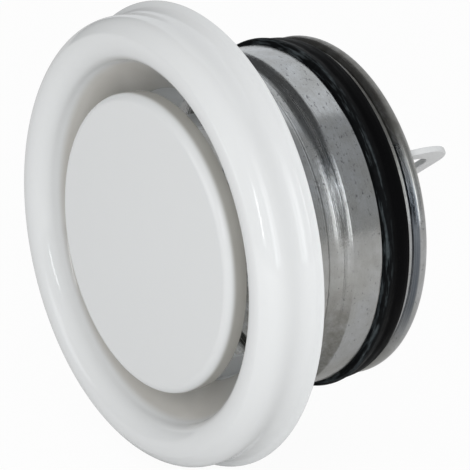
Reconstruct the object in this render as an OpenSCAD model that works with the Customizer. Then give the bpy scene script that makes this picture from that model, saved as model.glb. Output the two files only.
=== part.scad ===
// Ventilation disc valve for a 100 mm duct, with its mounting sleeve.
// The valve's axis lies along +Y, which points into the duct, and the wall plane is y = 0.
// Profiles are drawn as [radius, depth], where a negative depth stands in front of the wall.

/* [Mounting sleeve] */
// Outer diameter of the sleeve's plain band
sleeve_d = 99; // [80:0.5:124]
// Thickness of the steel sheet
sheet = 0.7; // [0.5:0.05:0.9]
// Depth of the sleeve's rear end behind the wall plane
sleeve_depth = 48.8; // [42:0.1:60]
// How far the flange stands out from the sleeve
flange_width = 11.5; // [10:0.1:12]
// Radius of the bend from the flange to the sleeve
flange_round = 1.8; // [1.2:0.1:2.4]
// Depth at which the inward bead starts
bead_start = 14.8; // [12:0.1:16]
// Width of the inward bead
bead_width = 8.2; // [7:0.1:9]
// How far the inward bead is pressed in
bead_press = 2.2; // [1.6:0.1:2.4]
// Width of the rubber seal
seal_width = 9.6; // [8:0.1:10]
// Width of the groove that is left free behind the rubber seal
seal_slack = 1; // [0.5:0.1:1.5]
// How far the seal's groove is pressed in
seal_press = 2.2; // [1.6:0.1:2.4]
// Radius of the rolled rear edge
roll_round = 2.9; // [2.4:0.1:3]
// How far the rolled rear edge stands out from the plain band
roll_proud = 0.4; // [0:0.1:0.6]
// Number of screw holes in the flange
screw_count = 3; // [3:1:6]
// Diameter of a screw hole
screw_d = 4.2; // [3.2:0.1:5]
// Distance from the flange's edge to the middle of a screw hole
screw_inset = 5.5; // [5:0.1:6]

/* [Ring] */
// How far the rim on the wall stands out from the sleeve
rim_width = 18; // [16.5:0.1:20]
// Distance from the sleeve to the circle that the rounded lip is bent round
lip_width = 9.4; // [8.8:0.1:9.6]
// Radius of the rounded lip's section
lip_round = 6.6; // [6:0.1:7]
// Distance from the wall to the middle of the rounded lip
lip_front = 11.3; // [11:0.1:13]
// Distance from the sleeve to the waist between the lip and the rim
waist_width = 14.4; // [14:0.1:14.6]
// Radius of the hollow curve from the waist out to the rim
flare_round = 5.3; // [5:0.1:5.8]
// Thickness of the rim's outer edge
rim_edge = 0.5; // [0.4:0.1:0.8]
// Wall thickness of the ring
ring_wall = 1.6; // [1.2:0.1:2]
// Distance from the sleeve in to the edge of the hole that the disc closes
seat_inset = 7.5; // [7:0.1:9]
// Depth of that hole behind the wall plane
seat_depth = 0.5; // [0:0.1:2]
// Number of stiffening ribs behind the lip
rib_count = 18; // [9:3:24]
// Thickness of a stiffening rib
rib_wall = 1.2; // [0.8:0.1:1.8]

/* [Spigot] */
// Gap between the spigot and the sleeve's inward bead
spigot_gap = 0.4; // [0.3:0.05:0.8]
// Wall thickness of the spigot
spigot_wall = 1.8; // [1.4:0.1:2.4]
// Depth of the spigot's rear end behind the wall plane
spigot_depth = 22; // [16:0.5:28]

/* [Bridge] */
// Number of arms that carry the hub
arm_count = 3; // [2:1:4]
// Angle of the first arm above the horizontal
arm_angle = 34; // [20:1:60]
// Thickness of an arm
arm_wall = 1.8; // [1.4:0.1:3]
// Height of an arm's section
arm_height = 6.1; // [5:0.1:8]
// Distance from the spigot's outer face in to the outer edge of an arm
arm_step = 0.9; // [0.3:0.1:1.2]
// Outer radius of an arm's elbow
elbow_round = 16; // [12:0.5:20]
// How far the bridge stands out behind the sleeve
bridge_out = 21.1; // [16:0.1:26]
// Outer diameter of the hub
hub_d = 15; // [13:0.5:18]
// Length of the hub
hub_length = 12; // [8:0.5:16]
// How far the hub stands out behind the arms
hub_proud = 0.5; // [0.3:0.1:1]

/* [Rubber seal] */
// How far the seal's lips stand out from the sleeve
seal_proud = 1.8; // [1.2:0.1:2.4]
// Depth of a shallow groove between the two lips of the seal
seal_dip = 0.5; // [0.3:0.05:0.8]

/* [Foam gasket] */
// Thickness of the foam gasket
foam_thick = 4; // [3:0.1:5]
// Gap between the foam gasket and the steel flange
foam_gap = 0.3; // [0.2:0.05:0.5]

/* [Disc] */
// How far the disc laps over the edge of the hole that it closes
disc_lap = 1.25; // [0.75:0.05:2]
// Distance from the wall to the disc's front face
disc_front = 15.5; // [14.5:0.1:17]
// Radius of the disc's rounded edge
disc_round = 2.6; // [1.5:0.1:3]
// Height of the disc's rim from front to back
disc_height = 6.5; // [5:0.1:7]
// Wall thickness of the disc
disc_wall = 1.8; // [1.4:0.1:2.4]
// Number of ribs behind the disc
disc_ribs = 6; // [3:1:12]
// Height of those ribs at the boss
disc_rib_height = 7; // [5:0.1:9]
// Outer diameter of the boss behind the disc
boss_d = 18; // [17:0.5:22]
// Length of the boss behind the disc's face
boss_length = 12; // [10:0.5:14]

/* [Spindle and nuts] */
// Diameter of the threaded spindle
spindle_d = 8; // [6:1:8]
// Length of spindle that stands out behind the bridge
spindle_end = 8.5; // [7:0.5:9]
// Gap between the spindle and each threaded hole
thread_gap = 0.05; // [0.02:0.01:0.08]
// Width across the flats of the nuts and the spindle's head
nut_flats = 13; // [12.5:0.5:13]
// Height of the spindle's head inside the disc's boss
head_height = 5; // [4:0.5:6]
// Thickness of the nut behind the disc's boss
disc_nut_thick = 6.5; // [4:0.5:7]
// Thickness of the thin lock nut behind the bridge
lock_nut_thick = 4; // [3:0.5:4]
// Outer diameter of the washers
washer_d = 16; // [14:0.5:17]
// Thickness of the washer behind the disc's boss
disc_washer_thick = 1.6; // [1:0.1:2]
// Thickness of the washer under the lock nut
lock_washer_thick = 0.8; // [0.5:0.1:1]
// Gap between the washers and the spindle
washer_gap = 0.3; // [0.2:0.05:0.5]

/* [Hidden] */
round_steps = 14;
wedge_steps = 4;
bend_sides = 96;
hex_sides = 6;
fuse = 0.3;
cut = 1;
waist_lap = 14;
arm_rooting = 4;
first_screw = 90;
chamfer = 0.8;

sleeve_r = sleeve_d / 2;
rim_r = sleeve_r + rim_width;
lip = [sleeve_r + lip_width, -lip_front];
waist_r = sleeve_r + waist_width;
flare = [waist_r + flare_round, -rim_edge - flare_round];
waist_angle = atan2(flare.y - lip.y, flare.x - lip.x);
throat = lip - [lip_round, 0];
seat = [sleeve_r - seat_inset, seat_depth];
flange_r = sleeve_r + flange_width;
bead_r = sleeve_r - bead_press;
bead_end = bead_start + bead_width;
roll = [sleeve_r + roll_proud - roll_round, sleeve_depth - roll_round];
seal_end = roll.y - roll_round - seal_slack;
seal_start = seal_end - seal_width;
seal_floor = sleeve_r - seal_press;
seal_r = sleeve_r + seal_proud;
spigot_r = bead_r - sheet - spigot_gap;
arm_reach = spigot_r - arm_step;
arm_root = spigot_depth / arm_rooting;
bridge_depth = sleeve_depth + bridge_out;
foam_seat = -foam_thick - foam_gap - sheet;
foam_inner = sleeve_r + flange_round;
foam_outer = waist_r - ring_wall - 2 * foam_gap;
disc_r = seat.x + disc_lap;
hub_r = hub_d / 2;
thread_d = spindle_d + 2 * thread_gap;
head_front = -disc_front + disc_wall;
boss_end = -disc_front + boss_length;
hub_end = bridge_depth + hub_proud;
hub_start = hub_end - hub_length;
spindle_tail = bridge_depth + spindle_end;

// Points of an arc about a centre, from one angle to another, where 0 points away from the axis
function arc(centre, radius, from, to, steps = round_steps) =
    [for (i = [0:steps])
        let (a = from + (to - from) * i / steps)
        centre + radius * [cos(a), sin(a)]];

// Radius of the throat's inner face at a depth
function throat_r(depth) =
    throat.x + (seat.x - throat.x) * (depth - throat.y) / (seat.y - throat.y);

// Places a profile of [radius, depth] round the valve's axis
module revolve(sides = 144) {
    rotate([-90, 0, 0])
        rotate_extrude($fn = sides)
            children();
}

// Turns a part that is drawn at the right-hand side up to an angle about the valve's axis
module turned(angle) {
    rotate([0, -angle, 0])
        children();
}

// A round bar along the valve's axis between two depths
module bar(diameter, from, to) {
    translate([0, from, 0])
        rotate([-90, 0, 0])
            cylinder(d = diameter, h = to - from, $fn = 64);
}

// A hexagonal bar along the valve's axis between two depths
module hex_bar(flats, from, to) {
    translate([0, from, 0])
        rotate([-90, 0, 0])
            cylinder(d = flats / cos(180 / hex_sides), h = to - from, $fn = hex_sides);
}

// Section of a wall that is bent round a centre, between two angles
module bend(centre, outside, thick, from, to) {
    intersection() {
        translate(centre)
            difference() {
                circle(outside, $fn = bend_sides);
                circle(outside - thick, $fn = bend_sides);
            }
        polygon(concat([centre], arc(centre, 2 * outside, from, to, wedge_steps)));
    }
}

// Section of a straight wall from a low to a high corner
module band(low, high) {
    translate(low)
        square(high - low);
}

// Section of the ring from its rim over the waist and the lip to the throat
module ring_section() {
    bend(lip, lip_round, ring_wall, -180, waist_angle + waist_lap);
    intersection() {
        bend(flare, flare_round + ring_wall, ring_wall, 90, 180 + waist_angle);
        band([0, lip.y], [rim_r, 0]);
    }
    polygon([throat, throat + [ring_wall, 0], seat + [ring_wall, ring_wall], seat]);
}

// The spigot that slides into the sleeve
module spigot_section() {
    inner = spigot_r - spigot_wall;
    polygon([
        [inner, seat_depth],
        [spigot_r, throat.y + (throat.x - spigot_r) / (throat.x - seat.x) * (seat.y - throat.y)],
        [spigot_r, spigot_depth - chamfer],
        [spigot_r - chamfer, spigot_depth],
        [inner, spigot_depth]
    ]);
}

// Ribs that stiffen the ring behind its lip and carry the foam gasket
module ring_ribs() {
    for (i = [0:rib_count - 1])
        turned(360 * i / rib_count)
            linear_extrude(height = rib_wall, center = true)
                polygon(concat(
                    [[throat_r(foam_seat) + ring_wall / 2, foam_seat]],
                    [[waist_r - ring_wall / 2, foam_seat]],
                    arc(lip, lip_round - ring_wall / 2, 0, -180)
                ));
}

// One arm of the bridge, drawn in the plane through the valve's axis
module arm() {
    elbow = [arm_reach - elbow_round, bridge_depth - elbow_round];
    linear_extrude(height = arm_wall, center = true) {
        band([arm_reach - arm_height, arm_root], [arm_reach, elbow.y]);
        bend(elbow, elbow_round, arm_height, 0, 90);
        band([hub_r - cut, bridge_depth - arm_height], [elbow.x, bridge_depth]);
    }
}

module valve_body() {
    color("white")
        difference() {
            union() {
                revolve() {
                    ring_section();
                    spigot_section();
                }
                ring_ribs();
                for (i = [0:arm_count - 1])
                    turned(arm_angle + 360 * i / arm_count)
                        arm();
                bar(hub_d, hub_start, hub_end);
            }
            bar(thread_d, hub_start - cut, hub_end + cut);
        }
}

module foam_gasket() {
    color("dimgray")
        revolve()
            band([foam_inner, foam_seat], [foam_outer, foam_seat + foam_thick]);
}

// Section of a step in the sleeve's wall from its outer radius down to the bead, in two bends
module step_down() {
    curve = bead_press / 2;
    bend([sleeve_r - curve, 0], curve, sheet, 0, 90);
    bend([bead_r + curve, bead_press], curve + sheet, sheet, 180, 270);
}

// Section of the sleeve's sheet from the flange to the rolled rear edge
module sleeve_section() {
    inner = sleeve_r - sheet;
    band([sleeve_r + flange_round, -sheet], [flange_r, 0]);
    bend([sleeve_r + flange_round, flange_round], flange_round + sheet, sheet, 180, 270);
    band([inner, flange_round], [sleeve_r, bead_start]);
    translate([0, bead_start])
        step_down();
    band([bead_r - sheet, bead_start + bead_press], [bead_r, bead_end - bead_press]);
    translate([0, bead_end])
        mirror([0, 1])
            step_down();
    band([inner, bead_end], [sleeve_r, seal_start]);
    band([seal_floor - sheet, seal_start - sheet], [sleeve_r, seal_start]);
    band([seal_floor - sheet, seal_start], [seal_floor, roll.y - roll_round + sheet]);
    bend(roll, roll_round, sheet, -90, 90);
}

module mounting_sleeve() {
    color("lightslategray")
        difference() {
            revolve()
                sleeve_section();
            for (i = [0:screw_count - 1])
                turned(first_screw + 360 * i / screw_count)
                    translate([flange_r - screw_inset, 0, 0])
                        bar(screw_d, -sheet - cut, cut);
        }
}

// Section of the seal's body in its groove, and of its two rounded lips
module seal_section() {
    band([seal_floor, seal_start], [sleeve_r, seal_end]);
    band([sleeve_r, seal_start + seal_proud], [seal_r - seal_dip, seal_end - seal_slack - seal_proud]);
    for (depth = [seal_start + seal_proud, seal_end - seal_slack - seal_proud])
        intersection() {
            translate([sleeve_r, depth])
                circle(seal_proud, $fn = bend_sides);
            band([sleeve_r, seal_start], [seal_r, seal_end]);
        }
}

module rubber_seal() {
    color("#151515")
        revolve()
            seal_section();
}

// Section of half of the disc, with its rounded edge and its boss
module disc_section() {
    edge = [disc_r - disc_round, -disc_front + disc_round];
    band([0, -disc_front], [edge.x, head_front]);
    bend(edge, disc_round, disc_wall, -90, 0);
    band([disc_r - disc_wall, edge.y], [disc_r, -disc_front + disc_height]);
    band([0, -disc_front], [boss_d / 2, boss_end]);
}

module disc() {
    rib_outer = disc_r - disc_wall + fuse;
    rib_inner = boss_d / 2 - cut;
    color("white")
        difference() {
            union() {
                revolve()
                    disc_section();
                for (i = [0:disc_ribs - 1])
                    turned(360 * (i + 0.5) / disc_ribs)
                        linear_extrude(height = rib_wall, center = true)
                            polygon([
                                [rib_inner, head_front - fuse],
                                [rib_outer, head_front - fuse],
                                [rib_outer, head_front + disc_wall],
                                [rib_inner, head_front + disc_rib_height]
                            ]);
            }
            hex_bar(nut_flats, head_front, head_front + head_height);
            bar(spindle_d, head_front, boss_end + cut);
        }
}

module spindle() {
    r = spindle_d / 2;
    color("silver") {
        hex_bar(nut_flats, head_front, head_front + head_height);
        revolve(64)
            polygon([
                [0, head_front + head_height / 2],
                [r, head_front + head_height / 2],
                [r, spindle_tail - chamfer],
                [r - chamfer, spindle_tail],
                [0, spindle_tail]
            ]);
    }
}

// A flat washer whose front face lies at a depth
module washer(front, thick) {
    difference() {
        bar(washer_d, front, front + thick);
        bar(spindle_d + 2 * washer_gap, front - cut, front + thick + cut);
    }
}

// A hexagonal nut with its corners turned off, whose front face lies at a depth
module nut(front, thick) {
    flat_r = nut_flats / 2;
    corner_r = flat_r / cos(180 / hex_sides);
    turned_off = corner_r - flat_r;
    difference() {
        intersection() {
            hex_bar(nut_flats, front, front + thick);
            revolve(64)
                polygon([
                    [0, front],
                    [flat_r, front],
                    [corner_r, front + turned_off],
                    [corner_r, front + thick - turned_off],
                    [flat_r, front + thick],
                    [0, front + thick]
                ]);
        }
        bar(thread_d, front - cut, front + thick + cut);
    }
}

module disc_washer() {
    color("silver")
        washer(boss_end, disc_washer_thick);
}

module disc_nut() {
    color("silver")
        nut(boss_end + disc_washer_thick, disc_nut_thick);
}

module lock_washer() {
    color("silver")
        washer(hub_end, lock_washer_thick);
}

module lock_nut() {
    color("silver")
        nut(hub_end + lock_washer_thick, lock_nut_thick);
}

mounting_sleeve();
rubber_seal();
valve_body();
foam_gasket();
disc();
spindle();
disc_washer();
disc_nut();
lock_washer();
lock_nut();
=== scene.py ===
import functools
import math
import bpy
import numpy as np
from mathutils import Vector, Matrix

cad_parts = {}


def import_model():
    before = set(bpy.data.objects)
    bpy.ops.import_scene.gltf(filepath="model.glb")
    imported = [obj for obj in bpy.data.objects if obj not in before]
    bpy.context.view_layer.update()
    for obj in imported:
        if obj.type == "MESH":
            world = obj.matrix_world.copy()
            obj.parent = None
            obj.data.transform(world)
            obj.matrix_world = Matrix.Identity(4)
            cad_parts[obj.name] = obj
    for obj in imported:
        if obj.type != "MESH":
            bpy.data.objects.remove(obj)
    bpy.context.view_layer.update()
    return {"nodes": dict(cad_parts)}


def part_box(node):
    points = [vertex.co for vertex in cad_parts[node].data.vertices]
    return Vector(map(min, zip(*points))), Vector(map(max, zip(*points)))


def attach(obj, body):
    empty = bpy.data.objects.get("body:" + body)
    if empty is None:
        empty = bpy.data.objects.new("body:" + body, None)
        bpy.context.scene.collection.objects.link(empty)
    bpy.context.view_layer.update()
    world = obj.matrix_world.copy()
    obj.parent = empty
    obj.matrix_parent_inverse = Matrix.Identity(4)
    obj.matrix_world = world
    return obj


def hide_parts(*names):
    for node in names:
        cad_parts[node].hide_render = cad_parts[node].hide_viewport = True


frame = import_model()
MM = 0.001


# Sizes from the frame, in millimetres
def turned_size(node):
    """Outer radius, front depth and back depth of a CAD node about the valve's axis."""
    low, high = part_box(node)
    radius = max(-low.x, high.x, -low.z, high.z)
    return [round(value / MM, 2) for value in (radius, low.y, high.y)]


RIM_R, _, HUB_BACK = turned_size("valve_body")
DISC_R, DISC_FRONT, BOSS_BACK = turned_size("disc")
FLANGE_R, FLANGE_FRONT, SLEEVE_BACK = turned_size("mounting_sleeve")
_, SEAL_FRONT, SEAL_BACK = turned_size("rubber_seal")
_, SPINDLE_FRONT, SPINDLE_BACK = turned_size("spindle")

# Sleeve sizes, in millimetres. The seal's groove and the bead are pressed in equally deep.
SHEET_WALL = -FLANGE_FRONT
FLANGE_WIDTH = 11.5
BAND_R = FLANGE_R - FLANGE_WIDTH
PRESS = 2.2
GROOVE_R = BAND_R - PRESS
ROLL_ROUND = 2.9
ROLL_PROUD = 0.4
SCREW_COUNT = 3
SCREW_R = 2.1
SCREW_RING = FLANGE_R - 5.5

# Ring sizes, in millimetres. A middle is a radius and a depth, and a depth in front of the wall is negative.
RING_WALL = 1.6
LIP_ROUND = 6.6
LIP_MID = (BAND_R + 9.4, -11.3)
RIM_EDGE = 0.5
FLARE_ROUND = 5.3
FLARE_MID = (BAND_R + 14.4 + FLARE_ROUND, -FLARE_ROUND - RIM_EDGE)
WAIST_FROM = (LIP_MID[0] + 2.1, -1.8)
WAIST_FADE = 1.5
SEAT_R = BAND_R - 7.5
SEAT_DEPTH = 0.5
RIB_COUNT = 18
RIB_WALL = 1.2
SPIGOT_GAP = 0.4
SPIGOT_R = GROOVE_R - SHEET_WALL - SPIGOT_GAP
SPIGOT_WALL = 1.8
SPIGOT_BACK = 22.0

# Bridge and spindle sizes, in millimetres
ARM_COUNT = 3
ARM_ANGLE = 34
ARM_WALL = 1.8
ARM_HEIGHT = 6.1
ELBOW_ROUND = 16.0
HUB_R = 7.5
HUB_LENGTH = 12.0
SPINDLE_R = 4.0
THREAD_GAP = 0.05
THREAD_PITCH = 1.25
HEAD_R = 7.2
HEAD_HEIGHT = 5.0

# Disc sizes, in millimetres
DISC_ROUND = 2.6
DISC_WALL = 1.8
DISC_HEIGHT = 6.5
DISC_RIBS = 6
DISC_RIB_HEIGHT = 7.0
BOSS_R = 9.0

# The shortest side in millimetres and the flattest corner in degrees that are rounded off, and the share of
# a side that one rounding may take
SHORTEST = 1e-6
FLATTEST = 176
SIDE_SHARE = 0.49

# A point nearer to the axis than this, in millimetres, lies on it
ON_AXIS = 1e-5


# Outlines in the plane of radius and depth
def arc(cx, cy, r, a0, a1, step=4.0):
    """Points of an arc, in millimetres and degrees."""
    count = max(2, int(abs(a1 - a0) / step) + 1)
    angles = np.radians(np.linspace(a0, a1, count))
    return [(cx + r * math.cos(a), cy + r * math.sin(a)) for a in angles]


def rounded(points, steps=5):
    """A closed outline whose corners are rounded off where a point has a third value, the corner's radius."""
    out = []
    for before, here, after in zip(points[-1:] + points[:-1], points, points[1:] + points[:1]):
        radius = here[2] if len(here) > 2 else 0
        corner = np.array(here[:2], float)
        a, b = np.array(before[:2], float) - corner, np.array(after[:2], float) - corner
        la, lb = np.linalg.norm(a), np.linalg.norm(b)
        if radius <= 0 or min(la, lb) < SHORTEST:
            out.append(tuple(corner))
            continue
        a, b = a / la, b / lb
        turn = math.acos(max(-1, min(1, float(a @ b))))
        if turn > math.radians(FLATTEST):
            out.append(tuple(corner))
            continue
        cut = min(radius / math.tan(turn / 2), la * SIDE_SHARE, lb * SIDE_SHARE)
        radius = cut * math.tan(turn / 2)
        mid = corner + (a + b) / np.linalg.norm(a + b) * (radius / math.sin(turn / 2))
        start, end = corner + a * cut - mid, corner + b * cut - mid
        t0, t1 = math.atan2(start[1], start[0]), math.atan2(end[1], end[0])
        sweep = (t1 - t0 + math.pi) % (2 * math.pi) - math.pi
        for k in range(steps + 1):
            t = t0 + sweep * k / steps
            out.append((mid[0] + radius * math.cos(t), mid[1] + radius * math.sin(t)))
    return out


def smooth_outline(points, step=0.35, passes=3, waist=0):
    """Spaces a closed outline evenly and softens its small corners, and the ring's waist with more passes."""
    p = np.array(points + [points[0]])
    along = np.concatenate([[0], np.cumsum(np.linalg.norm(np.diff(p, axis=0), axis=1))])
    at = np.linspace(0, along[-1], int(along[-1] / step), endpoint=False)
    q = np.stack([np.interp(at, along, p[:, 0]), np.interp(at, along, p[:, 1])], 1)
    inside = np.minimum(q[:, 0] - WAIST_FROM[0], WAIST_FROM[1] - q[:, 1])
    share = np.clip(inside / WAIST_FADE, 0, 1)[:, None]
    for i in range(passes + waist):
        mean = 0.5 * q + 0.25 * (np.roll(q, 1, 0) + np.roll(q, -1, 0))
        q = mean if i < passes else q + (mean - q) * share
    return [tuple(v) for v in q]


def signed_area(points):
    """Twice the area of a closed outline, positive where it runs anticlockwise."""
    return sum(a[0] * b[1] - b[0] * a[1] for a, b in zip(points, points[1:] + points[:1]))


# Meshes, each made as vertices in metres and faces
def new_object(name, data):
    ob = bpy.data.objects.new(name, data)
    bpy.context.scene.collection.objects.link(ob)
    return ob


def finish_mesh(name, verts, faces, material, weighted=True, angle=40):
    """An object with smooth shading, sharp where two faces meet at more than the angle in degrees."""
    mesh = bpy.data.meshes.new(name)
    mesh.from_pydata(verts, [], faces)
    mesh.validate()
    mesh.update()
    mesh.materials.append(material)
    for face in mesh.polygons:
        face.use_smooth = True
    mesh.set_sharp_from_angle(angle=math.radians(angle))
    ob = new_object(name, mesh)
    if weighted:
        weigh_normals(ob)
    return ob


def apply(ob, kind, **values):
    """Adds a modifier and bakes it into the object's mesh."""
    mod = ob.modifiers.new(kind.title(), kind)
    for name, value in values.items():
        setattr(mod, name, value)
    graph = bpy.context.evaluated_depsgraph_get()
    baked = bpy.data.meshes.new_from_object(
        ob.evaluated_get(graph), preserve_all_data_layers=True, depsgraph=graph)
    old = ob.data
    ob.modifiers.remove(mod)
    baked.name = old.name
    ob.data = baked
    bpy.data.meshes.remove(old)


def weigh_normals(ob):
    apply(ob, "WEIGHTED_NORMAL", keep_sharp=True, weight=60)


def lathe_data(outline, segments):
    """A closed outline turned about the valve's axis, with its faces outward."""
    verts, faces, rows = [], [], []
    for r, y in outline:
        if r < ON_AXIS:
            rows.append([len(verts)] * segments)
            verts.append((0, y * MM, 0))
            continue
        rows.append(list(range(len(verts), len(verts) + segments)))
        for j in range(segments):
            a = 2 * math.pi * j / segments
            verts.append((r * MM * math.cos(a), y * MM, r * MM * math.sin(a)))
    inward = signed_area(outline) < 0
    for a, b in zip(rows, rows[1:] + rows[:1]):
        if a[0] == a[1] and b[0] == b[1]:
            continue
        for j in range(segments):
            k = (j + 1) % segments
            corners = [a[j], b[j], b[k], a[k]]
            if inward:
                corners.reverse()
            face = list(dict.fromkeys(corners))
            if len(face) > 2:
                faces.append(face)
    return verts, faces


def merge(parts):
    """Several sets of vertices and faces as one."""
    verts, faces = [], []
    for part_verts, part_faces in parts:
        first = len(verts)
        verts += part_verts
        faces += [[i + first for i in face] for face in part_faces]
    return verts, faces


def inset_outline(points, width):
    """An outline moved inward by a width, or a little less at its sharpest corners."""
    inner, sharpest = [], 0.35
    for before, here, after in zip(points[-1:] + points[:-1], points, points[1:] + points[:1]):
        d1 = (here - before) / np.linalg.norm(here - before)
        d2 = (after - here) / np.linalg.norm(after - here)
        n1, n2 = np.array([-d1[1], d1[0]]), np.array([-d2[1], d2[0]])
        way = (n1 + n2) / max(SHORTEST, np.linalg.norm(n1 + n2))
        inner.append(here + way * width / max(sharpest, float(way @ n1)))
    return inner


def slab_data(outline, thick, angle, bevel):
    """A flat slab whose outline stands in the radial plane at an angle in degrees, its edges rounded."""
    outer = [np.array(point, float) for point in outline]
    if signed_area(outer) < 0:
        outer.reverse()
    inner = inset_outline(outer, bevel)
    half = thick / 2
    levels = [(inner, -half)]
    for side, steps in ((-1, (1, 2, 3)), (1, (3, 2, 1))):
        for k in steps:
            grow, rise = math.sin(math.pi / 6 * k), 1 - math.cos(math.pi / 6 * k)
            ring = [i + (o - i) * grow for i, o in zip(inner, outer)]
            levels.append((ring, side * (half - bevel * rise)))
    levels.append((inner, half))
    t = math.radians(angle)
    radial, sideways = np.array([math.cos(t), 0, math.sin(t)]), np.array([-math.sin(t), 0, math.cos(t)])
    verts, faces, rings = [], [], []
    for ring, offset in levels:
        rings.append(list(range(len(verts), len(verts) + len(ring))))
        for r, y in ring:
            verts.append(tuple((radial * r + np.array([0, 1, 0]) * y + sideways * offset) * MM))
    for a, b in zip(rings, rings[1:]):
        for i in range(len(a)):
            k = (i + 1) % len(a)
            faces.append([a[i], a[k], b[k], b[i]])
    return verts, faces + [rings[0][::-1], rings[-1]]


def spokes(outline, thick, first, count, bevel):
    """Slabs set evenly round the axis, the first one at an angle in degrees."""
    return [slab_data(outline, thick, first + 360 / count * i, bevel) for i in range(count)]


def thread_data(front, back, outer):
    """A right-hand screw thread about the valve's axis, tapered at its ends.

    Crest and root widen the flats of the thread's section. The taper has a length and a depth in millimetres.
    """
    depth, crest, root = 0.68, 1.25, 0.1
    taper, thin = 0.8, 0.55
    segments, rows_per_turn = 40, 10
    rows = int((back - front) / THREAD_PITCH * rows_per_turn) + rows_per_turn + 1
    verts, faces = [], []
    for i in range(rows + 1):
        phase = (i % rows_per_turn) / rows_per_turn
        height = min(1, max(0, (0.5 - abs(phase - 0.5)) * 2 * crest - root))
        for j in range(segments):
            y = front + THREAD_PITCH * (i / rows_per_turn) - THREAD_PITCH * (1 - j / segments)
            full = max(0, min(1, (back - y) / taper, (y - front) / (taper / 2) + 1))
            r = outer - depth * (1 - height) - (1 - full) * thin
            a = -2 * math.pi * j / segments
            verts.append((r * MM * math.cos(a), min(back, max(front, y)) * MM, r * MM * math.sin(a)))

    def at(i, j):
        """A point's index, where a turn ends in the first point of the next one."""
        return i * segments + j if j < segments else (i + rows_per_turn) * segments

    for i in range(rows):
        for j in range(segments):
            face = [at(i, j), at(i, j + 1), at(i + 1, j + 1), at(i + 1, j)]
            if max(face) < len(verts):
                faces.append(face)
    return verts, faces


# Materials
class Nodes:
    """Short calls for building one node tree."""

    def __init__(self, tree):
        self.tree = tree
        tree.nodes.clear()

    def add(self, kind, inputs=None, **settings):
        node = self.tree.nodes.new(kind)
        for name, value in settings.items():
            setattr(node, name, value)
        for name, value in (inputs or {}).items():
            node.inputs[name].default_value = value
        return node

    def feed(self, socket, value):
        """Links an output into a socket, or sets a plain value."""
        if hasattr(value, "links"):
            self.tree.links.new(value, socket)
        else:
            socket.default_value = value

    def math(self, operation, *values):
        node = self.add("ShaderNodeMath", operation=operation)
        for socket, value in zip(node.inputs, values):
            self.feed(socket, value)
        return node.outputs[0]

    def plus(self, first, *others):
        return functools.reduce(lambda a, b: self.math("ADD", a, b), others, first)

    def times(self, first, *others):
        return functools.reduce(lambda a, b: self.math("MULTIPLY", a, b), others, first)

    def vector(self, operation, a, b):
        node = self.add("ShaderNodeVectorMath", operation=operation)
        self.feed(node.inputs[0], a)
        self.feed(node.inputs[1], b)
        return node.outputs[0]

    def span(self, value, low, high, out_low=0, out_high=1, smooth=False):
        """Maps a value from one range to another, held at both ends."""
        node = self.add("ShaderNodeMapRange", interpolation_type="SMOOTHSTEP" if smooth else "LINEAR")
        for socket, given in zip(node.inputs, (value, low, high, out_low, out_high)):
            self.feed(socket, given)
        return node.outputs[0]

    def span_mm(self, value, low, high, out_low=0, out_high=1, smooth=False):
        """The same for a distance, with the first range in millimetres."""
        return self.span(value, low * MM, high * MM, out_low, out_high, smooth)

    def mix(self, share, a, b):
        """Goes from the first colour to the second as the share goes from 0 to 1."""
        node = self.add("ShaderNodeMix", data_type="RGBA")
        for index, value in ((0, share), (6, a), (7, b)):
            self.feed(node.inputs[index], (*value, 1) if isinstance(value, tuple) else value)
        return node.outputs[2]

    def noise(self, vector, scale, detail=3, rough=0.5, output=0):
        node = self.add("ShaderNodeTexNoise", {"Scale": scale, "Detail": detail, "Roughness": rough})
        self.feed(node.inputs["Vector"], vector)
        return node.outputs[output]

    def cells(self, vector, scale, output):
        node = self.add("ShaderNodeTexVoronoi", {"Scale": scale})
        self.feed(node.inputs["Vector"], vector)
        return node.outputs[output]

    def parts(self, vector):
        """The x, y and z of a vector."""
        node = self.add("ShaderNodeSeparateXYZ")
        self.feed(node.inputs[0], vector)
        return node.outputs


class Surface(Nodes):
    """A material on one shader, which gets its colour, roughness and bump from nodes."""

    def __init__(self, name, **constants):
        self.material = bpy.data.materials.new(name)
        self.material.use_nodes = True
        super().__init__(self.material.node_tree)
        self.shader = self.add("ShaderNodeBsdfPrincipled")
        for socket, value in constants.items():
            self.shader.inputs[socket.replace("_", " ")].default_value = value
        self.feed(self.add("ShaderNodeOutputMaterial").inputs[0], self.shader.outputs[0])
        self.point = self.add("ShaderNodeTexCoord").outputs["Object"]

    @functools.cached_property
    def polar(self):
        """Radius, angle and depth of a point about the valve's axis, in metres and radians."""
        x, y, z = self.parts(self.point)
        radius = self.math("SQRT", self.plus(self.times(x, x), self.times(z, z)))
        return radius, self.math("ARCTAN2", z, x), y

    def turned(self, around, along, detail=3, rough=0.6):
        """Noise drawn out into turning lines, with one scale round the axis and one across the lines."""
        radius, angle, y = self.polar
        node = self.add("ShaderNodeCombineXYZ")
        self.feed(node.inputs[0], self.times(self.math("COSINE", angle), around))
        self.feed(node.inputs[1], self.times(self.math("SINE", angle), around))
        self.feed(node.inputs[2], self.plus(self.times(y, along), self.times(radius, along)))
        return self.noise(node.outputs[0], 1.0, detail, rough)

    def finish(self, colour, height, strength, distance, rough=None):
        """Links the patterns to the shader, which keeps its own roughness where none is given."""
        self.feed(self.shader.inputs["Base Color"], colour)
        if rough is not None:
            self.feed(self.shader.inputs["Roughness"], rough)
        bump = self.add("ShaderNodeBump", {"Strength": strength, "Distance": distance})
        self.feed(bump.inputs["Height"], height)
        self.feed(self.shader.inputs["Normal"], bump.outputs[0])
        return self.material


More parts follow.
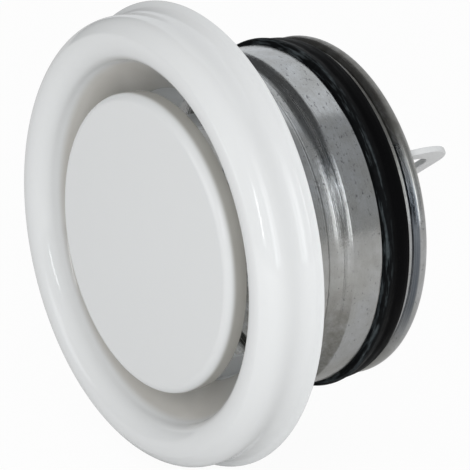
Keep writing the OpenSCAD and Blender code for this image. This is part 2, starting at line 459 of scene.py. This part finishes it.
def white_plastic(name, radii, depths, painted_gap_shade):
    """Glossy white, with painted shade that greys the gap between disc and ring.

    The painted shade lies between two radii, sets in between two depths, and fades out behind the throat.
    All of these are in millimetres.
    """
    white = (0.80, 0.815, 0.82)
    shaded = tuple(0.98 * c for c in white)
    n = Surface(name, IOR=1.49)
    radius, _, y = n.polar
    inner, outer = radii
    cloud = n.noise(n.point, 22)
    # Painted shade: the gap between disc and ring is greyed, broken up a little by noise
    gap = n.times(
        n.span_mm(y, *depths, smooth=True),
        n.span_mm(radius, outer, outer + 0.4, 1, 0),
        n.span_mm(radius, inner, inner + 0.5),
        n.span_mm(y, 0.5, 4, 1, 0),
    )
    shade_variation = n.span(n.noise(n.point, 60, 3, 0.6), 0.2, 0.8, 0.85, 1.0)
    colour = n.mix(n.span(cloud, 0.1, 0.9), shaded, white)
    colour = n.mix(n.times(gap, shade_variation), colour, painted_gap_shade)
    rough = n.span(cloud, 0.1, 0.9, 0.07, 0.12)
    return n.finish(colour, n.noise(n.point, 160, 2), 0.05, 0.0006, rough)


def galvanised_steel():
    """Zinc spangle with stains and turning lines, livelier on the bead and on the rolled edge."""
    n = Surface("galvanised_sheet", Metallic=1.0)
    radius, angle, y = n.polar
    z = n.times(radius, n.math("SINE", angle))

    # Patterns
    stain = n.noise(n.point, 26, 3, 0.55)
    blotch = n.noise(n.point, 55, 4, 0.6)
    mottle = n.noise(n.point, 210, 5, 0.7)
    grain = n.noise(n.point, 900, 4, 0.7)
    turn = n.turned(1.2, 2600)
    speck = n.turned(34, 1150, 3, 0.75)
    shift = n.vector("MULTIPLY", n.noise(n.point, 90, 2, output="Color"), (0.006, 0.006, 0.006))
    spangle = n.add("ShaderNodeSeparateColor")
    n.feed(spangle.inputs[0], n.cells(n.vector("ADD", n.point, shift), 150, "Color"))

    # Places: the rolled edge, all worked metal, the bead, the upper parts from two heights up, the lower part
    # of the bead, which takes painted shade, and a band near the front of the rolled edge, which takes a
    # painted dark reflection
    rolled = n.span_mm(y, SEAL_BACK + 0.1, SEAL_BACK + 0.4)
    worked = n.math("MAXIMUM", n.span_mm(radius, BAND_R - 0.08, BAND_R - 0.02, 1, 0), rolled)
    pressed = n.math("SUBTRACT", worked, rolled)
    top = n.span_mm(z, 5, 32, smooth=True)
    crown = n.span_mm(z, 16, 36, smooth=True)
    # Painted shade: the lower part of the bead is darkened, with some mottling
    low = n.times(n.span_mm(z, -2, -20, smooth=True), pressed)
    # Painted dark reflection: a bluish dark band in the valley in front of the rolled edge
    valley_dark_reflection = n.times(
        n.span_mm(y, SEAL_BACK + 1.1, SEAL_BACK + 1.4),
        n.span_mm(y, SEAL_BACK + 2.9, SEAL_BACK + 3.6, 1, 0, smooth=True),
        n.span_mm(n.math("ABSOLUTE", z), 14, 34, 1, 0, smooth=True),
    )

    colour = n.mix(n.span(spangle.outputs[0], 0, 1), (0.49, 0.50, 0.51), (0.56, 0.57, 0.575))
    layers = (
        (n.span(stain, 0.42, 0.62), (0.455, 0.45, 0.42)),
        (n.span(turn, 0.45, 0.75, 0, 0.35), (0.38, 0.38, 0.365)),
        (n.span(mottle, 0.36, 0.66, 0, 0.55), (0.37, 0.365, 0.345)),
        (n.times(n.times(rolled, crown), n.span(mottle, 0.3, 0.6, 0.6, 1)), (0.20, 0.19, 0.175)),
        # Painted shade on the lower part of the bead
        (n.times(low, n.span(mottle, 0.35, 0.6, 0.45, 1)), (0.24, 0.235, 0.215)),
        # Painted dark reflection in front of the rolled edge
        (n.times(valley_dark_reflection, n.span(turn, 0.3, 0.6, 0.75, 1)), (0.13, 0.145, 0.165)),
    )
    for share, layer in layers:
        colour = n.mix(share, colour, layer)
    pits = n.span(n.math("SUBTRACT", speck, n.times(top, 0.025)), 0.31, 0.38)
    colour = n.mix(pits, (0.20, 0.20, 0.205), colour)

    rough = n.plus(
        n.span(blotch, 0.3, 0.7, 0.12, 0.22),
        n.span(mottle, 0.3, 0.7, -0.02, 0.05),
        n.times(pressed, 0.02),
        n.times(rolled, n.span(crown, 0, 1, -0.04, 0.14)),
    )
    height = n.plus(
        n.times(blotch, 0.7),
        n.times(turn, 0.2),
        n.times(speck, 0.12),
        n.times(grain, n.plus(n.times(worked, 0.7), n.times(rolled, -0.45))),
        n.times(worked, turn, 0.9),
    )
    return n.finish(colour, height, 0.2, 0.0005, rough)


def zinc_plate():
    n = Surface("zinc_plate", Metallic=1.0)
    patch = n.noise(n.point, 300, 3, 0.6)
    turn = n.turned(6, 5000)
    colour = n.mix(n.span(patch, 0.35, 0.65), (0.60, 0.62, 0.64), (0.74, 0.75, 0.76))
    height = n.plus(n.times(patch, 0.4), turn)
    return n.finish(colour, height, 0.12, 0.0002, n.span(turn, 0.3, 0.7, 0.22, 0.38))


def rubber():
    """Nearly black, with grey streaks on the seal's front lip, which are painted sheen and dust."""
    n = Surface("seal_rubber", IOR=1.45, Specular_IOR_Level=0.04)
    y = n.polar[2]
    turn = n.turned(5.0, 700, 4)
    dust = n.noise(n.point, 700, 3, 0.65)
    front = n.span_mm(n.plus(y, n.times(turn, 3 * MM)), SEAL_FRONT + 2.8, SEAL_FRONT + 5, 1, 0, smooth=True)
    # Painted sheen on the front lip, broken up by dust
    dust_and_sheen = n.times(front, n.span(turn, 0.50, 0.64, 0.06, 1), n.span(dust, 0.3, 0.7, 0.5, 1))
    colour = n.mix(dust_and_sheen, (0.002, 0.002, 0.0023), (0.075, 0.09, 0.097))
    height = n.plus(turn, n.times(dust, 0.3))
    return n.finish(colour, height, 0.2, 0.0005, n.span(turn, 0.35, 0.65, 0.42, 0.62))


def foam():
    n = Surface("gasket_foam", Roughness=0.95)
    pore = n.span(n.cells(n.point, 1300, "Distance"), 0, 0.7)
    return n.finish(n.mix(pore, (0.02, 0.02, 0.02), (0.11, 0.11, 0.11)), pore, 0.6, 0.0008)


# The last colour of each is the painted shade in its gap
RING_PLASTIC = white_plastic("ring_plastic", (38, 53.2), (-11.7, -9.5), (0.57, 0.555, 0.52))
DISC_PLASTIC = white_plastic("disc_plastic", (42, 50), (-14.2, -12.2), (0.42, 0.41, 0.38))
STEEL = galvanised_steel()
ZINC = zinc_plate()
RUBBER = rubber()
FOAM = foam()


def ready(ob, body, node):
    """Puts a finished piece in the place of its CAD node."""
    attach(ob, body)
    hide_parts(node)


# Ring moulding
def ring_outline():
    """Front face from the rim over the waist and lip in to the seat, and back face out again.

    The arcs stop short of where they would meet, and smooth_outline eases what is left between them.
    """
    link = math.degrees(math.atan2(FLARE_MID[1] - LIP_MID[1], FLARE_MID[0] - LIP_MID[0]))
    at_edge = math.degrees(math.acos((RIM_R - FLARE_MID[0]) / FLARE_ROUND))
    at_wall = 180 - math.degrees(math.asin(-FLARE_MID[1] / (FLARE_ROUND + RING_WALL)))
    edge_front, edge_back = -0.62, -0.02
    outline = [(RIM_R, edge_back, 0.2), (RIM_R, edge_front, 0.25)]
    outline += arc(*FLARE_MID, FLARE_ROUND, at_edge + 3, 180 + link - 13)
    outline += arc(*LIP_MID, LIP_ROUND, link - 11, -172)
    outline += [(BAND_R + 2.1, LIP_MID[1] + 0.8, 2.5), (SEAT_R, SEAT_DEPTH, 0.5)]
    outline += [(SEAT_R + 1.1, SEAT_DEPTH + 1.25, 0.4), (BAND_R + 3.9, LIP_MID[1] + 0.9, 1.5)]
    outline += arc(*LIP_MID, LIP_ROUND - RING_WALL, -180, link - 12)
    outline += arc(*FLARE_MID, FLARE_ROUND + RING_WALL, 180 + link - 10, at_wall)
    return rounded(outline, 6)


def lip_ribs():
    """Stiffening ribs across the hollow behind the lip, sunk halfway into its wall."""
    back = LIP_MID[1] + 6.3
    outline = [(BAND_R + 0.5, back), (BAND_R + 13.5, back)]
    outline += arc(*LIP_MID, LIP_ROUND - RING_WALL / 2, 5, -180, 10)
    return spokes(outline, RIB_WALL, 0, RIB_COUNT, 0.15)


def spigot():
    """The tube behind the throat, with a chamfered nose. Its front end is sunk into the throat's slope."""
    bore, nose = SPIGOT_R - SPIGOT_WALL, 0.8
    outline = [(bore, 0.3), (SPIGOT_R, -1.2, 0.2), (SPIGOT_R, SPIGOT_BACK - nose, 0.3)]
    outline += [(SPIGOT_R - nose, SPIGOT_BACK, 0.3), (bore, SPIGOT_BACK, 0.3)]
    return lathe_data(rounded(outline), 240)


def bridge_arms():
    """Arms that run back inside the spigot, round an elbow and in to the hub."""
    reach, back, start = SPIGOT_R - 0.9, HUB_BACK - 0.5, 5.5
    elbow = (reach - ELBOW_ROUND, back - ELBOW_ROUND)
    outline = [(reach - ARM_HEIGHT, start), (reach, start)] + arc(*elbow, ELBOW_ROUND, 0, 90, 6)
    outline += [(HUB_R - 1, back), (HUB_R - 1, back - ARM_HEIGHT)]
    outline += arc(*elbow, ELBOW_ROUND - ARM_HEIGHT, 90, 0, 6)
    return spokes(outline, ARM_WALL, ARM_ANGLE, ARM_COUNT, 0.4)


def hub():
    bore, front = SPINDLE_R + THREAD_GAP, HUB_BACK - HUB_LENGTH
    outline = [(bore, front, 0.3), (HUB_R, front, 0.5), (HUB_R, HUB_BACK, 0.5), (bore, HUB_BACK, 0.3)]
    return lathe_data(rounded(outline), 96)


def ring_moulding():
    rolled = lathe_data(smooth_outline(ring_outline(), waist=120), 300)
    parts = [rolled, spigot(), *lip_ribs(), *bridge_arms(), hub()]
    ob = finish_mesh("ring_moulding", *merge(parts), RING_PLASTIC)
    ready(ob, "ring", "valve_body")


# Disc
def disc_moulding():
    """The disc's dished shell with its boss, and ribs that are sunk into face, rim and boss."""
    floor_y = DISC_FRONT + DISC_WALL
    rim_back = DISC_FRONT + DISC_HEIGHT
    inner_r = DISC_R - DISC_WALL
    shell = [(0, DISC_FRONT), (20, DISC_FRONT), (38, DISC_FRONT)]
    shell += arc(DISC_R - DISC_ROUND, DISC_FRONT + DISC_ROUND, DISC_ROUND, -90, 0, 6)
    shell += [(DISC_R, rim_back, 0.4), (inner_r, rim_back, 0.4), (inner_r, floor_y, 0.8)]
    shell += [(BOSS_R, floor_y, 0.8), (BOSS_R, BOSS_BACK, 0.5), (SPINDLE_R, BOSS_BACK), (0, BOSS_BACK)]
    rib = [(BOSS_R - 1, floor_y - 0.3), (inner_r + 0.2, floor_y - 0.3)]
    rib += [(inner_r + 0.2, floor_y + DISC_WALL), (BOSS_R - 1, floor_y + DISC_RIB_HEIGHT)]
    parts = [lathe_data(rounded(shell, 6), 320), *spokes(rib, RIB_WALL, 30, DISC_RIBS, 0.15)]
    ob = finish_mesh("disc_moulding", *merge(parts), DISC_PLASTIC)
    ready(ob, "disc_unit", "disc")


# Sleeve and seal
def bead(inset):
    """The pressed-in bead from front to back: a steep front step, a floor and an easier rear step.

    Each step is an S of two equal arcs, which starts at a depth and runs a length back or forward.
    """
    out = []
    for start, length, way in ((13.4, 3.0, 1), (23.3, 5.7, -1)):
        turn = 2 * math.degrees(math.atan(PRESS / length))
        r = PRESS / (2 - 2 * math.cos(math.radians(turn)))
        step = arc(BAND_R - r, start, r - inset, 0, way * turn, 6)
        step += arc(GROOVE_R + r, start + way * length, r + inset, 180 + way * turn, 180, 6)
        out += step if way > 0 else step[::-1]
    return out


def sleeve_outline():
    """Inner face from the flange back to the rolled edge, and outer face forward again."""
    band, groove = BAND_R - SHEET_WALL, GROOVE_R - SHEET_WALL
    groove_front = SEAL_FRONT - SHEET_WALL
    roll = (BAND_R + ROLL_PROUD - ROLL_ROUND, SLEEVE_BACK - ROLL_ROUND)
    roll_inside = ROLL_ROUND - SHEET_WALL
    outline = [(FLANGE_R, 0, 0.25), (FLANGE_R, -SHEET_WALL, 0.25), (band, -SHEET_WALL, 2.4)]
    outline += bead(SHEET_WALL)
    outline += [(band, groove_front, 0.3), (groove, groove_front, 0.3), (groove, roll[1] - roll_inside, 0.2)]
    outline += arc(*roll, roll_inside, -86, 90, 8)
    outline += arc(*roll, ROLL_ROUND, 90, -60, 5)
    outline += [(GROOVE_R + 1.05, SEAL_BACK + 0.25, 0.25), (GROOVE_R, SEAL_BACK + 0.2, 0.1)]
    outline += [(GROOVE_R, SEAL_FRONT, 0.2), (BAND_R, SEAL_FRONT, 0.3)] + bead(0)[::-1]
    return rounded(outline + [(BAND_R, 0, 1.7)], 6)


def screw_holes():
    """A cutter with a pin through each screw hole of the flange."""
    front, back = -1.5, 0.8
    pin, faces = lathe_data([(0, front), (SCREW_R, front), (SCREW_R, back), (0, back)], 36)
    pins = []
    for i in range(SCREW_COUNT):
        a = math.radians(90 + 360 / SCREW_COUNT * i)
        dx, dz = SCREW_RING * MM * math.cos(a), SCREW_RING * MM * math.sin(a)
        pins.append(([(x + dx, y, z + dz) for x, y, z in pin], faces))
    return finish_mesh("screw_holes", *merge(pins), STEEL, weighted=False)


def sleeve():
    ob = finish_mesh("sleeve_sheet", *lathe_data(sleeve_outline(), 320), STEEL, weighted=False)
    cutter = screw_holes()
    apply(ob, "BOOLEAN", object=cutter, operation="DIFFERENCE", solver="EXACT")
    bpy.data.objects.remove(cutter)
    weigh_normals(ob)
    ready(ob, "sleeve", "mounting_sleeve")


def seal():
    """The rubber ring in the groove. Its free lips wander a little back and forth round the sleeve."""
    section = (
        (0, 0.02, 0), (2.1, 0.02, 0.3), (3.4, 0.3, 0.9), (3.95, 1.7, 0.8), (3.5, 3.2, 0.8), (3.1, 4.2, 0.8),
        (3.2, 5.9, 0.8), (3.0, 7.8, 0.8), (2.5, 9.1, 0.5), (1.7, 9.55, 0.3), (0, 9.55, 0),
    )
    outline = rounded([(GROOVE_R + out, SEAL_FRONT + back, radius) for out, back, radius in section], 6)
    ob = finish_mesh("seal_ring", *lathe_data(smooth_outline(outline, 0.25, 2), 320), RUBBER)
    waves = ((0.12, 3, 1), (0.07, 11, 0), (0.04, 29, 2))
    free_from, fade = BAND_R + 0.2, 0.8
    for vertex in ob.data.vertices:
        x, _, z = vertex.co
        free = (math.hypot(x, z) / MM - free_from) / fade
        if free > 0:
            a = math.atan2(z, x)
            wave = sum(size * math.sin(count * a + phase) for size, count, phase in waves)
            vertex.co.y += wave * MM * min(1, free)
    ready(ob, "sleeve", "rubber_seal")


# Spindle
def spindle():
    """The hexagonal head in the disc's boss, the threaded rod and its turned end."""
    front, back = SPINDLE_FRONT + 0.02, SPINDLE_FRONT + HEAD_HEIGHT
    head = lathe_data(rounded([(0, front), (HEAD_R, front, 0.4), (HEAD_R, back, 0.4), (0, back)]), 6)
    rod = thread_data(BOSS_BACK - 0.1, SPINDLE_BACK, SPINDLE_R)
    cap_front, cap_back = SPINDLE_BACK - 0.4, SPINDLE_BACK - 0.02
    cap = lathe_data([(0, cap_front), (0, cap_back), (2.9, cap_back), (3.3, cap_front)], 40)
    ob = finish_mesh("threaded_spindle", *merge([head, rod, cap]), ZINC, weighted=False, angle=70)
    ready(ob, "disc_unit", "spindle")


def dress(node, material):
    """Gives a CAD node that keeps its own shape a better material."""
    for slot in frame["nodes"][node].material_slots:
        slot.material = material


# Camera, stage and light
def camera():
    """The photograph's view, as fitted to the circles that it shows."""
    right = Vector((0.5618, 0.8273, 0.0)).normalized()
    ahead = Vector((-0.7795, 0.5293, -0.3352)).normalized()
    place = Matrix((right, right.cross(ahead).normalized(), -ahead)).transposed().to_4x4()
    place.translation = Vector((0.8053, -0.5306, 0.3430))
    data = bpy.data.cameras.new("camera")
    data.lens = 275.7
    data.sensor_width = 36
    data.clip_end = 30
    ob = new_object("camera", data)
    ob.matrix_world = place
    bpy.context.scene.camera = ob


def seen_directly(n):
    """1 for a ray from the camera or through glass, and 0 for any other ray."""
    path = n.add("ShaderNodeLightPath").outputs
    return n.math("MAXIMUM", path["Is Camera Ray"], path["Is Transmission Ray"])


def floor():
    """A pale floor just below the valve, which looks white and still takes a faint shadow."""
    half, z = 6.0, -(RIM_R + 0.1) * MM
    mesh = bpy.data.meshes.new("floor")
    corners = [(-half, -half, z), (half, -half, z), (half, half, z), (-half, half, z)]
    mesh.from_pydata(corners, [], [[0, 1, 2, 3]])
    material = bpy.data.materials.new("floor")
    material.use_nodes = True
    n = Nodes(material.node_tree)
    pale = n.add("ShaderNodeBsdfDiffuse", {"Color": (0.86, 0.86, 0.86, 1)})
    white = n.add("ShaderNodeEmission", {"Color": (1, 1, 1, 1), "Strength": 1.0})
    mix = n.add("ShaderNodeMixShader")
    n.feed(mix.inputs[0], n.times(seen_directly(n), 0.95))
    n.feed(mix.inputs[1], pale.outputs[0])
    n.feed(mix.inputs[2], white.outputs[0])
    n.feed(n.add("ShaderNodeOutputMaterial").inputs[0], mix.outputs[0])
    mesh.materials.append(material)
    new_object("floor", mesh)


def studio_sky(n):
    """What reflections see: a dark studio with soft fields, placed by azimuth and elevation in degrees."""
    x, y, z = n.parts(n.add("ShaderNodeTexCoord").outputs["Generated"])
    azimuth = n.times(n.math("ARCTAN2", y, x), 180 / math.pi)
    elevation = n.times(n.math("ARCSINE", z), 180 / math.pi)

    def strip(centre, half, soft):
        off = n.math("ABSOLUTE", n.math("SUBTRACT", azimuth, centre))
        return n.span(off, half, half + soft, 1, 0, smooth=True)

    def below(low, high):
        return n.span(elevation, low, high, 1, 0, smooth=True)

    def above(low, high):
        return n.span(elevation, low, high, smooth=True)

    shade = n.times(strip(-42, 24, 8), below(34, 50))
    grey = n.span(shade, 0, 1, 0.10, 0.02)

    # Brightness, middle with half width and soft edge, upper limit, and a lower limit where a field has one
    fields = (
        (0.30, (46, 31, 3), (60, 68), None),
        (0.70, (118, 38, 2.5), (60, 70), None),
        (0.40, (3, 13, 5), (32, 62), None),
        (1.20, (6, 11, 5), (32, 62), (-14, -2)),
        (1.20, (-1, 4, 2), (26, 44), (-14, -2)),
        (1.70, (-106, 13, 4), (14, 20), None),
        (0.34, (-86, 5, 3), (28, 40), None),
        (6.00, (-46, 2, 2), (27, 33), (4, 10)),
    )
    for power, around, top, foot in fields:
        rows = n.times(below(*top), above(*foot)) if foot else below(*top)
        grey = n.plus(grey, n.times(strip(*around), rows, power))
    blend = n.add("ShaderNodeCombineColor")
    for i, tint in enumerate((0.97, 1.0, 1.03)):
        n.feed(blend.inputs[i], n.plus(n.times(grey, tint), n.times(shade, 0.012 * i)))
    return blend.outputs[0]


def world():
    """Even soft light, the studio for reflections, and white for the camera."""
    even, white = (0.647, 0.647, 0.647), (0.975, 0.975, 0.975)
    sky = bpy.data.worlds.new("studio")
    sky.use_nodes = True
    bpy.context.scene.world = sky
    n = Nodes(sky.node_tree)
    glossy = n.add("ShaderNodeLightPath").outputs["Is Glossy Ray"]
    colour = n.mix(seen_directly(n), n.mix(glossy, even, studio_sky(n)), white)
    background = n.add("ShaderNodeBackground", {"Strength": 1.0})
    n.feed(background.inputs[0], colour)
    n.feed(n.add("ShaderNodeOutputWorld").inputs[0], background.outputs[0])


def key_light():
    """One soft lamp in the camera's direction. It lights the valve, but no reflection shows it."""
    place = Vector((0.78, -0.53, 0.335))
    data = bpy.data.lights.new("key", "AREA")
    data.size = 0.6
    data.energy = 3.7
    ob = new_object("key", data)
    ob.location = place
    ob.rotation_euler = (-place).to_track_quat("-Z", "Y").to_euler()
    ob.visible_glossy = False


ring_moulding()
disc_moulding()
sleeve()
seal()
spindle()
dress("foam_gasket", FOAM)
for metal in ("disc_washer", "disc_nut", "lock_washer", "lock_nut"):
    dress(metal, ZINC)
camera()
floor()
world()
key_light()
bpy.context.scene.view_settings.view_transform = "Standard"
